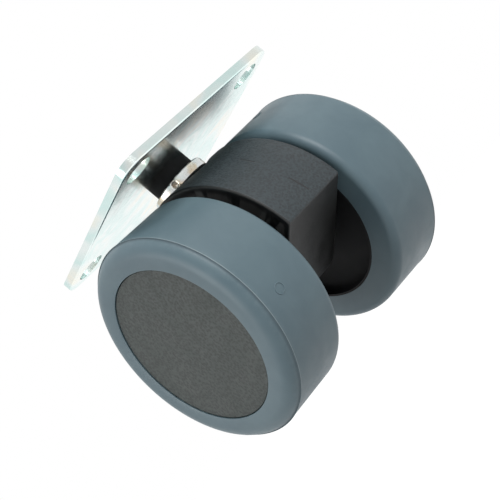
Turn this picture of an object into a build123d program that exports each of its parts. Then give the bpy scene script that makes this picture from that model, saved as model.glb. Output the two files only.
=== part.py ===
"""Levelling twin-wheel castor with a square screw-on plate.

Frame: millimetres, +Z up, origin at the centre of the plate's top face, on the swivel axis.
The axle lies along Y, straight below the origin, so the castor has no trail.
"""

from math import acos, cos, degrees, sin
import os

from build123d import *

os.makedirs("parts", exist_ok=True)

# Clearances
running_clearance = 0.05      # radial, between parts that turn or slide on each other
seat_clearance = 0.02         # radial, between parts that are pressed or riveted together
end_play = 0.1                # axial, between a washer and the hub that turns against it
free_gap = 0.3                # around parts that pass each other without touching

# Mounting plate
plate_side = 50.0
plate_thickness = 2.0
plate_corner_radius = 4.0
plate_edge_radius = 0.4
hole_diameter = 7.0
hole_edge_distance = 6.0      # from a hole's centre to the plate's sides
hole_pitch = plate_side - 2 * hole_edge_distance

# Threaded stem, riveted into the plate
stem_diameter = 8.0
stem_end_chamfer = 0.8
rivet_head_diameter = 11.0
rivet_head_depth = 1.4

# Spacer ring between the plate and the levelling sleeve
spacer_diameter = 15.6
spacer_height = 3.0

# Levelling sleeve, screwed on the stem, with a collar for a tommy bar
sleeve_diameter = 11.0
collar_diameter = 14.2
collar_height = 2.4
collar_chamfer = 0.25
tommy_hole_diameter = 1.4
tommy_hole_depth = 1.2
tommy_hole_count = 4
sleeve_foot_gap = 3.0         # between the sleeve's lower end and the axle
stem_foot_gap = 1.5           # between the stem's lower end and the sleeve's

# Thrust washer under the collar
thrust_washer_diameter = 14.6
thrust_washer_thickness = 0.5

# Snap ring that holds the housing on the sleeve
snap_ring_wire = 1.0
snap_ring_depth = 0.6         # how far the ring sinks into the sleeve
snap_ring_reach = 0.5         # how far the ring reaches into the housing
snap_ring_height = 2.4        # ring centre above the sleeve's lower end
snap_ring_gap_angle = 40.0

# Housing: a half-round hood over the axle, with flanks that run down to a round toe
hood_radius = 23.6
housing_width = 19.2
toe_radius = 10.3
hood_wall = 2.4
web_thickness = 2.4
stem_boss_diameter = 16.8
rib_thickness = 1.6
rib_angles = (12.0, 32.0, 52.0)   # from the horizontal, the same on both sides of the stem boss
hood_end_radius = 0.8
hood_edge_radius = 0.5

# Axle and what holds it
axle_diameter = 6.0
axle_chamfer = 0.6
washer_diameter = 12.4
washer_thickness = 0.8
clip_thickness = 1.2
clip_diameter = 9.6
clip_groove_depth = 0.6
clip_mouth = 4.0
axle_tail = 0.8               # axle length beyond each clip

# Wheels
wheel_diameter = 50.0
wheel_width = 18.6
wheel_side_gap = 2.2          # between the housing and the tyre's inner side
tyre_thickness = 4.4
tread_draft = 0.2             # the tread's radius grows by this towards the outer rim
inner_shoulder_radius = 2.0
outer_shoulder_radius = 2.5
parting_step = 0.15           # the ledge where the tread meets the outer shoulder
tyre_inner_lip_thickness = 1.6
tyre_inner_lip_depth = 2.3    # how far the lip reaches in over the rim's end
rim_wall = 2.8
rim_outer_setback = 2.2       # from the tyre's outer side to the end of the rim
hub_diameter = 13.0
hub_length = 14.0
wheel_web_thickness = 2.2
wheel_web_recess = 2.8        # from the tyre's inner side to the web
wheel_rib_count = 8
wheel_rib_thickness = 1.4
wheel_rib_height = 2.0
wheel_rib_root = 0.3          # how far a rib's ends run into the hub and the rim

# Hub caps
cap_margin = 6.25             # from the cap's edge to the tread
cap_thickness = 1.9
cap_recess = 0.3              # the cap's face lies this far below the tyre's side
cap_edge_radius = 0.25
cap_skirt_wall = 1.2
cap_skirt_length = 2.6
lip_clearance = 0.1           # radial, between the cap and the tyre's outer lip

# Levels down the swivel axis
plate_underside = -plate_thickness
collar_top = plate_underside - spacer_height
collar_bottom = collar_top - collar_height
hood_top = collar_bottom - thrust_washer_thickness
axle_level = hood_top - hood_radius
sleeve_foot = axle_level + axle_diameter / 2 + sleeve_foot_gap
stem_foot = sleeve_foot + stem_foot_gap
snap_ring_level = sleeve_foot + snap_ring_height

# Radii that follow from the wheel
rim_radius = wheel_diameter / 2 - tyre_thickness
tyre_inner_lip_radius = rim_radius - tyre_inner_lip_depth
cap_radius = wheel_diameter / 2 - cap_margin

# Places along the axle, from the middle plane
hub_inner_end = housing_width / 2 + washer_thickness + end_play
hub_outer_end = hub_inner_end + hub_length
outer_washer_place = hub_outer_end + end_play
clip_place = outer_washer_place + washer_thickness
axle_end = clip_place + clip_thickness + axle_tail
wheel_inner_face = housing_width / 2 + wheel_side_gap
wheel_outer_face = wheel_inner_face + wheel_width
rim_outer_end = wheel_outer_face - rim_outer_setback
wheel_web_place = wheel_inner_face + wheel_web_recess

axle_plane = Plane(origin=(0, 0, axle_level), x_dir=(1, 0, 0), z_dir=(0, -1, 0))
axle_axis = Axis((0, 0, axle_level), (0, 1, 0))


def save(part, name):
    """Label a finished piece and write its STEP file."""
    part.label = name
    export_step(part, f"parts/{name}.step")


def section_plane(side):
    """The half section of a wheel: first axis outboard on that side, second axis outward."""
    return Plane(origin=(0, 0, axle_level), x_dir=(0, side, 0), z_dir=(side, 0, 0))


def collar_on_axle(side, place, thickness, outer_radius, inner_radius):
    """A plain ring around the axle that starts at a place along it."""
    with BuildPart() as ring:
        with BuildSketch(axle_plane.offset(-side * place)):
            Circle(outer_radius)
            Circle(inner_radius, mode=Mode.SUBTRACT)
        extrude(amount=-side * thickness)
    return ring.part


# ---------------------------------------------------------------- mounting plate
with BuildPart() as mounting_plate:
    with BuildSketch(Plane.XY.offset(plate_underside)):
        RectangleRounded(plate_side, plate_side, plate_corner_radius)
    extrude(amount=plate_thickness)
    fillet(mounting_plate.faces().sort_by(Axis.Z)[0].edges(), plate_edge_radius)
    with BuildSketch(Plane.XY.offset(plate_underside)):
        with GridLocations(hole_pitch, hole_pitch, 2, 2):
            Circle(hole_diameter / 2)
        Circle(stem_diameter / 2 + seat_clearance)
    extrude(amount=plate_thickness, mode=Mode.SUBTRACT)
    with BuildSketch(Plane.XZ):
        with BuildLine():
            Polyline(
                (0, 0),
                (rivet_head_diameter / 2 + seat_clearance, 0),
                (stem_diameter / 2 + seat_clearance, -rivet_head_depth),
                (0, -rivet_head_depth),
                close=True,
            )
        make_face()
    revolve(axis=Axis.Z, mode=Mode.SUBTRACT)
save(mounting_plate.part, "mounting_plate")

# ---------------------------------------------------------------- threaded stem
with BuildPart() as threaded_stem:
    with BuildSketch(Plane.XZ):
        with BuildLine():
            Polyline(
                (0, 0),
                (rivet_head_diameter / 2, 0),
                (stem_diameter / 2, -rivet_head_depth),
                (stem_diameter / 2, stem_foot + stem_end_chamfer),
                (stem_diameter / 2 - stem_end_chamfer, stem_foot),
                (0, stem_foot),
                close=True,
            )
        make_face()
    revolve(axis=Axis.Z)
save(threaded_stem.part, "threaded_stem")

# ---------------------------------------------------------------- spacer ring
with BuildPart() as spacer_ring:
    with BuildSketch(Plane.XY.offset(collar_top)):
        Circle(spacer_diameter / 2)
        Circle(stem_diameter / 2 + running_clearance, mode=Mode.SUBTRACT)
    extrude(amount=spacer_height)
    chamfer(spacer_ring.edges().group_by(Axis.Z)[0].sort_by(SortBy.RADIUS)[-1], collar_chamfer)
save(spacer_ring.part, "spacer_ring")

# ---------------------------------------------------------------- levelling sleeve
with BuildPart() as levelling_sleeve:
    with BuildSketch(Plane.XY.offset(sleeve_foot)):
        Circle(sleeve_diameter / 2)
    extrude(amount=collar_top - sleeve_foot)
    with BuildSketch(Plane.XY.offset(collar_bottom)):
        Circle(collar_diameter / 2)
    extrude(amount=collar_height)
    collar_rims = levelling_sleeve.edges().filter_by(GeomType.CIRCLE).sort_by(SortBy.RADIUS)[-2:]
    chamfer(collar_rims, collar_chamfer)
    with BuildSketch(Plane.XY.offset(sleeve_foot)):
        Circle(stem_diameter / 2 + running_clearance)
    extrude(amount=collar_top - sleeve_foot, mode=Mode.SUBTRACT)
    with BuildSketch(Plane.XY.offset(snap_ring_level - snap_ring_wire / 2)):
        Circle(sleeve_diameter)
        Circle(sleeve_diameter / 2 - snap_ring_depth, mode=Mode.SUBTRACT)
    extrude(amount=snap_ring_wire, mode=Mode.SUBTRACT)
    with Locations((0, 0, (collar_top + collar_bottom) / 2)):
        with PolarLocations(collar_diameter / 2 - tommy_hole_depth / 2, tommy_hole_count, start_angle=45):
            Cylinder(
                tommy_hole_diameter / 2,
                tommy_hole_depth,
                rotation=(0, 90, 0),
                mode=Mode.SUBTRACT,
            )
save(levelling_sleeve.part, "levelling_sleeve")

# ---------------------------------------------------------------- thrust washer
with BuildPart() as thrust_washer:
    with BuildSketch(Plane.XY.offset(hood_top)):
        Circle(thrust_washer_diameter / 2)
        Circle(sleeve_diameter / 2 + running_clearance, mode=Mode.SUBTRACT)
    extrude(amount=thrust_washer_thickness)
save(thrust_washer.part, "thrust_washer")

# ---------------------------------------------------------------- snap ring
snap_ring_inner = sleeve_diameter / 2 - snap_ring_depth + seat_clearance
snap_ring_outer = sleeve_diameter / 2 + snap_ring_reach
with BuildPart() as snap_ring:
    with BuildSketch(Plane.XZ):
        with Locations(((snap_ring_inner + snap_ring_outer) / 2, snap_ring_level)):
            Rectangle(snap_ring_outer - snap_ring_inner, snap_ring_wire - 2 * seat_clearance)
    revolve(axis=Axis.Z, revolution_arc=360 - snap_ring_gap_angle)
save(snap_ring.part, "snap_ring")

# ---------------------------------------------------------------- housing
flank_angle = acos(toe_radius / hood_radius)
flank_foot = (toe_radius * cos(flank_angle), -toe_radius * sin(flank_angle))
with BuildPart() as housing:
    with BuildSketch(axle_plane) as side_profile:
        with BuildLine():
            CenterArc((0, 0), hood_radius, 0, 180)
            Line((-hood_radius, 0), (-flank_foot[0], flank_foot[1]))
            toe_start = 180 + degrees(flank_angle)
            CenterArc((0, 0), toe_radius, toe_start, 360 - 2 * degrees(flank_angle) - 180)
            Line((flank_foot[0], flank_foot[1]), (hood_radius, 0))
        make_face()
    extrude(amount=housing_width / 2, both=True)
    hood_ends = housing.edges().filter_by(Axis.Y).sort_by(Axis.X)
    fillet([hood_ends[0], hood_ends[-1]], hood_end_radius)
    fillet(housing.faces().filter_by(Axis.Y).edges(), hood_edge_radius)

    # Pockets cored from both sides up to a middle web, between a rim, ribs and the bosses
    pocket_depth = (housing_width - web_thickness) / 2
    for side in (1, -1):
        with BuildSketch(axle_plane.offset(side * web_thickness / 2)) as pockets:
            offset(side_profile.face(), amount=-hood_wall)
            Circle(toe_radius, mode=Mode.SUBTRACT)
            for angle in rib_angles:
                for turn in (angle, 180 - angle):
                    with PolarLocations(hood_radius / 2, 1, start_angle=turn):
                        Rectangle(hood_radius, rib_thickness, mode=Mode.SUBTRACT)
        extrude(amount=side * pocket_depth, mode=Mode.SUBTRACT)

    # Stem boss with its flat seat, and the bores
    with BuildSketch(Plane.XY.offset(axle_level)):
        Circle(stem_boss_diameter / 2)
    extrude(amount=hood_radius)
    with BuildSketch(Plane.XY.offset(sleeve_foot - free_gap)):
        Circle(sleeve_diameter / 2 + running_clearance)
    extrude(amount=hood_top - sleeve_foot + free_gap, mode=Mode.SUBTRACT)
    with BuildSketch(Plane.XY.offset(snap_ring_level - snap_ring_wire / 2 - end_play)):
        Circle(snap_ring_outer + free_gap)
    extrude(amount=snap_ring_wire + 2 * end_play, mode=Mode.SUBTRACT)
    with BuildSketch(axle_plane):
        Circle(axle_diameter / 2 + seat_clearance)
    extrude(amount=housing_width / 2, both=True, mode=Mode.SUBTRACT)
save(housing.part, "housing")

# ---------------------------------------------------------------- axle
with BuildPart() as axle:
    with BuildSketch(axle_plane):
        Circle(axle_diameter / 2)
    extrude(amount=axle_end, both=True)
    chamfer(axle.faces().filter_by(Axis.Y).edges(), axle_chamfer)
    for side in (1, -1):
        with BuildSketch(axle_plane.offset(-side * clip_place)):
            Circle(axle_diameter)
            Circle(axle_diameter / 2 - clip_groove_depth, mode=Mode.SUBTRACT)
        extrude(amount=-side * clip_thickness, mode=Mode.SUBTRACT)
save(axle.part, "axle")


def wheel_core(side):
    """Nylon wheel body: a hub and a rim joined by a web and ribs on the inboard side."""
    rim_bore = rim_radius - rim_wall
    with BuildPart() as core:
        with BuildSketch(section_plane(side)):
            with BuildLine():
                Polyline(
                    (hub_inner_end, axle_diameter / 2 + running_clearance),
                    (hub_inner_end, hub_diameter / 2),
                    (wheel_web_place, hub_diameter / 2),
                    (wheel_web_place, rim_bore),
                    (wheel_inner_face, rim_bore),
                    (wheel_inner_face, tyre_inner_lip_radius - seat_clearance),
                    (wheel_inner_face + tyre_inner_lip_thickness, tyre_inner_lip_radius - seat_clearance),
                    (wheel_inner_face + tyre_inner_lip_thickness, rim_radius),
                    (rim_outer_end, rim_radius),
                    (rim_outer_end, rim_bore),
                    (wheel_web_place + wheel_web_thickness, rim_bore),
                    (wheel_web_place + wheel_web_thickness, hub_diameter / 2),
                    (hub_outer_end, hub_diameter / 2),
                    (hub_outer_end, axle_diameter / 2 + running_clearance),
                    close=True,
                )
            make_face()
        revolve(axis=axle_axis)
        rib_length = rim_bore - hub_diameter / 2 + 2 * wheel_rib_root
        with BuildSketch(axle_plane.offset(-side * wheel_web_place)):
            with PolarLocations((rim_bore + hub_diameter / 2) / 2, wheel_rib_count):
                Rectangle(rib_length, wheel_rib_thickness)
        extrude(amount=side * wheel_rib_height)
    return core.part


def tyre(side):
    """Soft tyre moulded over the rim, with a parting ledge between tread and outer shoulder."""
    tread_radius = wheel_diameter / 2
    inner_tread = tread_radius - tread_draft
    ledge = tread_radius - parting_step
    outer_tread_edge = wheel_outer_face - outer_shoulder_radius
    inner_tread_edge = wheel_inner_face + inner_shoulder_radius
    lip_seat = wheel_inner_face + tyre_inner_lip_thickness
    inner_arc_centre = (inner_tread_edge, inner_tread - inner_shoulder_radius)
    outer_arc_centre = (outer_tread_edge, ledge - outer_shoulder_radius)
    cap_lip = cap_radius + lip_clearance
    with BuildPart() as band:
        with BuildSketch(section_plane(side)):
            with BuildLine():
                Line((wheel_inner_face, tyre_inner_lip_radius), (wheel_inner_face, inner_arc_centre[1]))
                CenterArc(inner_arc_centre, inner_shoulder_radius, 90, 90)
                Line((inner_tread_edge, inner_tread), (outer_tread_edge, tread_radius))
                Line((outer_tread_edge, tread_radius), (outer_tread_edge, ledge))
                CenterArc(outer_arc_centre, outer_shoulder_radius, 0, 90)
                Polyline(
                    (wheel_outer_face, outer_arc_centre[1]),
                    (wheel_outer_face, cap_lip),
                    (rim_outer_end, cap_lip),
                    (rim_outer_end, rim_radius + seat_clearance),
                    (lip_seat, rim_radius + seat_clearance),
                    (lip_seat, tyre_inner_lip_radius),
                    (wheel_inner_face, tyre_inner_lip_radius),
                )
            make_face()
        revolve(axis=axle_axis)
    return band.part


def hub_cap(side):
    """Round cover that closes the wheel, with a skirt that snaps into the rim."""
    face = wheel_outer_face - cap_recess
    back = face - cap_thickness
    skirt_radius = rim_radius - rim_wall - lip_clearance
    with BuildPart() as cap:
        with BuildSketch(axle_plane.offset(-side * back)):
            Circle(cap_radius)
        extrude(amount=-side * cap_thickness)
        fillet(cap.faces().sort_by(Axis.Y)[-1 if side > 0 else 0].edges(), cap_edge_radius)
        with BuildSketch(axle_plane.offset(-side * back)):
            Circle(skirt_radius)
            Circle(skirt_radius - cap_skirt_wall, mode=Mode.SUBTRACT)
        extrude(amount=side * cap_skirt_length)
    return cap.part


def axle_clip(side):
    """Open retaining ring that sits in the axle's groove."""
    with BuildPart() as clip:
        with BuildSketch(axle_plane.offset(-side * clip_place)):
            Circle(clip_diameter / 2)
            Circle(axle_diameter / 2 - clip_groove_depth + seat_clearance, mode=Mode.SUBTRACT)
            with Locations((0, -clip_diameter / 2)):
                Rectangle(clip_mouth, clip_diameter, mode=Mode.SUBTRACT)
        extrude(amount=-side * clip_thickness)
    return clip.part


# ---------------------------------------------------------------- wheels and axle hardware
washer_bore = axle_diameter / 2 + running_clearance
for side, word in ((1, "left"), (-1, "right")):
    save(wheel_core(side), f"wheel_core_{word}")
    save(tyre(side), f"tyre_{word}")
    save(hub_cap(side), f"hub_cap_{word}")
    save(
        collar_on_axle(side, housing_width / 2, washer_thickness, washer_diameter / 2, washer_bore),
        f"inner_washer_{word}",
    )
    save(
        collar_on_axle(side, outer_washer_place, washer_thickness, washer_diameter / 2, washer_bore),
        f"outer_washer_{word}",
    )
    save(axle_clip(side), f"axle_clip_{word}")
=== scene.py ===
"""Look of a levelling twin-wheel castor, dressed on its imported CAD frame.

The solids give every place and size. This script gives them smooth surfaces, the stem's thread, the
marks that moulding leaves, their finishes and the studio they stand in.
"""

import logging
import math
from abc import ABC, abstractmethod
from dataclasses import dataclass, field
from enum import Enum

import bmesh
import bpy
from mathutils import Matrix, Vector


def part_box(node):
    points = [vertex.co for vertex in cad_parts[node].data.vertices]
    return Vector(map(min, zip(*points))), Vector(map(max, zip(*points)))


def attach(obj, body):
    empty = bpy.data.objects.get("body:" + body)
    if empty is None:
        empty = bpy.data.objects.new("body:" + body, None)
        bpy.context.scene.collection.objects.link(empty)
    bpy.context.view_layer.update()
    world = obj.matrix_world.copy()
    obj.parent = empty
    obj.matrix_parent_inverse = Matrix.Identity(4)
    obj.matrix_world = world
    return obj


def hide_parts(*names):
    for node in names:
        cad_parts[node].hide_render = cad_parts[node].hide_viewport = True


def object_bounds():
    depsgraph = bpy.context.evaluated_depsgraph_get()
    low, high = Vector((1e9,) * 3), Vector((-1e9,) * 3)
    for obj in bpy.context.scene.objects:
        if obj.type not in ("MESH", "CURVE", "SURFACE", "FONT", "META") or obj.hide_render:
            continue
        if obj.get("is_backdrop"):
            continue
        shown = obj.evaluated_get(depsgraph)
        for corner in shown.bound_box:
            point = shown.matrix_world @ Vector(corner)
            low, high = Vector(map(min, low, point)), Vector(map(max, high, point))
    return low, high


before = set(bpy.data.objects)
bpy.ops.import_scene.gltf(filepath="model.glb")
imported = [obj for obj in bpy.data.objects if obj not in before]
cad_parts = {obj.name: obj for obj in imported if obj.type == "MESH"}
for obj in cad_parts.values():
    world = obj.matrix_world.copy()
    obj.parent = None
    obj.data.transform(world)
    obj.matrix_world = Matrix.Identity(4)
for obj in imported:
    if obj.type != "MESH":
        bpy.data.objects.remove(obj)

MM = 0.001

log = logging.getLogger("castor")

Colour = tuple[float, float, float]
Outline = list[tuple[float, float]]


class Slot(Enum):
    """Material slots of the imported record."""

    ZINC_PLATE = "zinc_plate"
    ZINC_STEEL = "zinc_steel"
    SPRING_STEEL = "spring_steel"
    NYLON = "black_nylon"
    ACETAL = "black_acetal"
    TYRE = "grey_tyre"


class Body(Enum):
    """Rigid bodies of the castor, from the plate down."""

    PLATE = "plate"
    SLEEVE = "sleeve"
    FORK = "fork"
    LEFT_WHEEL = "left_wheel"
    RIGHT_WHEEL = "right_wheel"


class Side(Enum):
    """The two wheels; the value is the direction along the axle."""

    LEFT = 1
    RIGHT = -1

    @property
    def word(self) -> str:
        """The side's name in the node names."""
        return self.name.lower()

    @property
    def body(self) -> Body:
        """The body that this side's wheel rides on."""
        return Body.LEFT_WHEEL if self is Side.LEFT else Body.RIGHT_WHEEL


# ------------------------------------------------------------------ material building blocks
def linear(colour: Colour) -> tuple[float, float, float, float]:
    """Turn a display colour into the linear colour a shader takes.

    Args:
        colour: Red, green and blue from 0 to 255.

    Returns:
        Linear red, green, blue and an alpha of 1.
    """
    shares = [channel / 255 for channel in colour]
    values = [s / 12.92 if s <= 0.04045 else ((s + 0.055) / 1.055) ** 2.4 for s in shares]
    return (values[0], values[1], values[2], 1.0)


class MaterialSketch:
    """Writes the node tree of one material, with places in millimetres."""

    def __init__(self, name: str, centre: Vector | None = None) -> None:
        """Start a material with one principled shader.

        Args:
            name: The material's name.
            centre: Where the pattern's origin lies in the row frame, in metres.
        """
        self.material = bpy.data.materials.new(name)
        self.material.use_nodes = True
        self.tree = self.material.node_tree
        self.tree.nodes.clear()
        self.shader = self.tree.nodes.new("ShaderNodeBsdfPrincipled")
        output = self.tree.nodes.new("ShaderNodeOutputMaterial")
        self.link(self.shader.outputs["BSDF"], output.inputs["Surface"])
        coordinates = self.tree.nodes.new("ShaderNodeTexCoord")
        mapping = self.tree.nodes.new("ShaderNodeMapping")
        origin = centre or Vector()
        mapping.inputs["Location"].default_value = tuple(-c / MM for c in origin)
        mapping.inputs["Scale"].default_value = (1 / MM,) * 3
        self.link(coordinates.outputs["Object"], mapping.inputs["Vector"])
        self.place = mapping.outputs["Vector"]

    def link(self, source: bpy.types.NodeSocket, target: bpy.types.NodeSocket) -> None:
        """Join an output to an input."""
        self.tree.links.new(source, target)

    def set(self, socket: str, value: object) -> None:
        """Set one of the shader's inputs to a constant, or link it to an output.

        Args:
            socket: The input's name.
            value: A number, a linear colour, or an output socket.
        """
        target = self.shader.inputs[socket]
        if isinstance(value, bpy.types.NodeSocket):
            self.link(value, target)
        else:
            target.default_value = value

    def axes(self, vector: bpy.types.NodeSocket | None = None) -> list[bpy.types.NodeSocket]:
        """Split a place into its three coordinates.

        Args:
            vector: The place to split, or None for the place on the piece.

        Returns:
            The X, Y and Z outputs.
        """
        node = self.tree.nodes.new("ShaderNodeSeparateXYZ")
        self.link(vector or self.place, node.inputs[0])
        return [node.outputs["X"], node.outputs["Y"], node.outputs["Z"]]

    def from_axle(
        self, x: bpy.types.NodeSocket, z: bpy.types.NodeSocket
    ) -> bpy.types.NodeSocket:
        """Return the distance from the axle."""
        squares = [self.maths("MULTIPLY", part, part) for part in (x, z)]
        return self.maths("SQRT", self.maths("ADD", *squares))

    def stretched(self, scale: Colour) -> bpy.types.NodeSocket:
        """Return the place scaled along each axis, for streaks and brushed grain."""
        node = self.tree.nodes.new("ShaderNodeMapping")
        node.inputs["Scale"].default_value = scale
        self.link(self.place, node.inputs["Vector"])
        return node.outputs["Vector"]

    def noise(
        self,
        size: float,
        detail: float = 2.0,
        roughness: float = 0.5,
        vector: bpy.types.NodeSocket | None = None,
        warp: float = 0.0,
    ) -> bpy.types.NodeSocket:
        """Add a noise pattern.

        Args:
            size: Width of one patch, in millimetres.
            detail: Number of finer layers.
            roughness: Weight of the finer layers.
            vector: The place to read, or None for the place on the piece.
            warp: How far the pattern is bent.

        Returns:
            The pattern's value, around 0.5.
        """
        node = self.tree.nodes.new("ShaderNodeTexNoise")
        node.inputs["Scale"].default_value = 1.0 / size
        node.inputs["Detail"].default_value = detail
        node.inputs["Roughness"].default_value = roughness
        node.inputs["Distortion"].default_value = warp
        self.link(vector or self.place, node.inputs["Vector"])
        return node.outputs["Fac"]

    def cells(self, size: float) -> bpy.types.NodeSocket:
        """Add a pattern of rounded grains.

        Args:
            size: Width of one grain, in millimetres.

        Returns:
            The distance to the nearest grain's centre, as a share of its size.
        """
        node = self.tree.nodes.new("ShaderNodeTexVoronoi")
        node.inputs["Scale"].default_value = 1.0 / size
        self.link(self.place, node.inputs["Vector"])
        return node.outputs["Distance"]

    def maths(
        self, operation: str, first: object, second: object = 0.0, clamp: bool = False
    ) -> bpy.types.NodeSocket:
        """Combine two values.

        Args:
            operation: A Math node operation.
            first: A number or an output.
            second: A number or an output.
            clamp: Whether the result stays between 0 and 1.

        Returns:
            The result.
        """
        node = self.tree.nodes.new("ShaderNodeMath")
        node.operation = operation
        node.use_clamp = clamp
        for socket, value in zip(node.inputs, (first, second)):
            if isinstance(value, bpy.types.NodeSocket):
                self.link(value, socket)
            else:
                socket.default_value = value
        return node.outputs[0]

    def ranged(
        self,
        value: bpy.types.NodeSocket,
        source: tuple[float, float],
        target: tuple[float, float] = (0.0, 1.0),
        smooth: bool = False,
    ) -> bpy.types.NodeSocket:
        """Map a value from one range to another, and keep it inside.

        Args:
            value: The value to map.
            source: Low and high end of the value.
            target: What the ends become.
            smooth: Whether the ends are eased.

        Returns:
            The mapped value.
        """
        node = self.tree.nodes.new("ShaderNodeMapRange")
        node.interpolation_type = "SMOOTHSTEP" if smooth else "LINEAR"
        node.inputs["From Min"].default_value, node.inputs["From Max"].default_value = source
        node.inputs["To Min"].default_value, node.inputs["To Max"].default_value = target
        self.link(value, node.inputs["Value"])
        return node.outputs["Result"]

    def blend(
        self, share: bpy.types.NodeSocket, first: object, second: object
    ) -> bpy.types.NodeSocket:
        """Mix two colours.

        Args:
            share: How much of the second colour shows.
            first: A linear colour or an output.
            second: A linear colour or an output.

        Returns:
            The mixed colour.
        """
        node = self.tree.nodes.new("ShaderNodeMix")
        node.data_type = "RGBA"
        self.link(share, node.inputs["Factor"])
        for socket, value in ((node.inputs["A"], first), (node.inputs["B"], second)):
            if isinstance(value, bpy.types.NodeSocket):
                self.link(value, socket)
            else:
                socket.default_value = value
        return node.outputs["Result"]

    def bands(
        self, share: bpy.types.NodeSocket, stops: list[tuple[float, Colour]]
    ) -> bpy.types.NodeSocket:
        """Colour a value through a row of stops.

        Args:
            share: The value, from 0 to 1.
            stops: Places from 0 to 1 with their display colours.

        Returns:
            The colour.
        """
        node = self.tree.nodes.new("ShaderNodeValToRGB")
        elements = node.color_ramp.elements
        while len(elements) < len(stops):
            elements.new(0.5)
        for element, (place, colour) in zip(elements, stops):
            element.position = place
            element.color = linear(colour)
        self.link(share, node.inputs["Fac"])
        return node.outputs["Color"]

    def relief(
        self,
        height: bpy.types.NodeSocket,
        depth: float,
        over: bpy.types.NodeSocket | None = None,
    ) -> bpy.types.NodeSocket:
        """Raise the surface by a pattern.

        Args:
            height: The pattern, from 0 to 1.
            depth: Height of the pattern, in millimetres.
            over: A relief that this one lies on.

        Returns:
            The bent normal.
        """
        node = self.tree.nodes.new("ShaderNodeBump")
        node.inputs["Strength"].default_value = 1.0
        node.inputs["Distance"].default_value = depth * MM
        self.link(height, node.inputs["Height"])
        if over is not None:
            self.link(over, node.inputs["Normal"])
        return node.outputs["Normal"]


# ------------------------------------------------------------------ finishes
@dataclass(frozen=True)
class Finish(ABC):
    """A finish that one or more pieces share."""

    name: str

    @abstractmethod
    def make(self) -> bpy.types.Material:
        """Build the finish as a Blender material."""


@dataclass(frozen=True)
class TyreFinish(Finish):
    """Soft grey plastic with a satin skin, with a painted highlight along its outer shoulders, painted shade
    in the groove beside the flash line and a painted highlight on the flash line.
    """

    axle: Vector
    tread_radius: float
    flash_place: float
    base: Colour = (96, 117, 125)
    shade: Colour = (89, 110, 119)
    # Painted highlight along the rounded outer shoulder.
    shoulder_highlight: Colour = (112, 130, 137)
    # Painted highlight on the flash line's bead.
    flash: Colour = (150, 163, 167)
    # Painted shade in the groove just outboard of the flash line.
    groove_shade: Colour = (66, 82, 90)
    grain: float = 0.22
    grain_depth: float = 0.006

    def make(self) -> bpy.types.Material:
        """Build the finish from a cloudy colour, a painted highlight on the outer shoulders, painted shade in
        the groove beside the flash line, a painted highlight on the flash line and a fine skin.
        """
        sketch = MaterialSketch(self.name, self.axle)
        x, y, z = sketch.axes()
        radius = sketch.from_axle(x, z)
        outboard = sketch.maths("ABSOLUTE", y)
        clouds = sketch.noise(9.0, detail=3.0, roughness=0.55, warp=0.4)
        body = sketch.blend(sketch.ranged(clouds, (0.35, 0.65)), linear(self.shade), linear(self.base))
        crown = sketch.ranged(radius, (self.tread_radius - 1.4, self.tread_radius - 0.2), smooth=True)
        edge = sketch.ranged(outboard, (self.flash_place - 1.4, self.flash_place + 0.2), smooth=True)
        # Painted highlight: the outer shoulder next to the tread is made lighter in noisy patches, standing
        # in for the light on its rounded edge.
        highlight_patches = sketch.ranged(sketch.noise(1.6, detail=4.0, roughness=0.7), (0.42, 0.72))
        shoulder_highlight_mask = sketch.maths("MULTIPLY", sketch.maths("MULTIPLY", crown, edge), highlight_patches)
        colour = sketch.blend(sketch.maths("MULTIPLY", shoulder_highlight_mask, 0.55), body, linear(self.shoulder_highlight))
        # Painted shade: a darker band in the groove just past the flash line, near the tread.
        past = sketch.maths("SUBTRACT", outboard, self.flash_place)
        groove = sketch.maths("MULTIPLY", sketch.ranged(past, (0.05, 0.15)), sketch.ranged(past, (0.7, 0.3)))
        shaded = sketch.maths("MULTIPLY", sketch.maths("MULTIPLY", groove, crown), 0.5)
        colour = sketch.blend(shaded, colour, linear(self.groove_shade))
        # Painted highlight: a thin lighter line along the flash bead.
        line = sketch.ranged(sketch.maths("ABSOLUTE", past), (0.16, 0.06), smooth=True)
        raised = sketch.maths("MULTIPLY", sketch.maths("MULTIPLY", line, crown), 0.7)
        colour = sketch.blend(raised, colour, linear(self.flash))
        sketch.set("Base Color", colour)
        skin = sketch.noise(self.grain, detail=2.0, roughness=0.6)
        satin = sketch.maths(
            "ADD",
            sketch.ranged(sketch.noise(3.5, detail=4.0, roughness=0.6), (0.3, 0.7), (0.40, 0.50)),
            sketch.ranged(skin, (0.3, 0.7), (-0.03, 0.03)),
        )
        sketch.set("Roughness", satin)
        sketch.set("IOR", 1.5)
        swell = sketch.relief(sketch.noise(6.0, detail=1.0), 0.02)
        sketch.set("Normal", sketch.relief(skin, self.grain_depth, swell))
        return sketch.material


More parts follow.
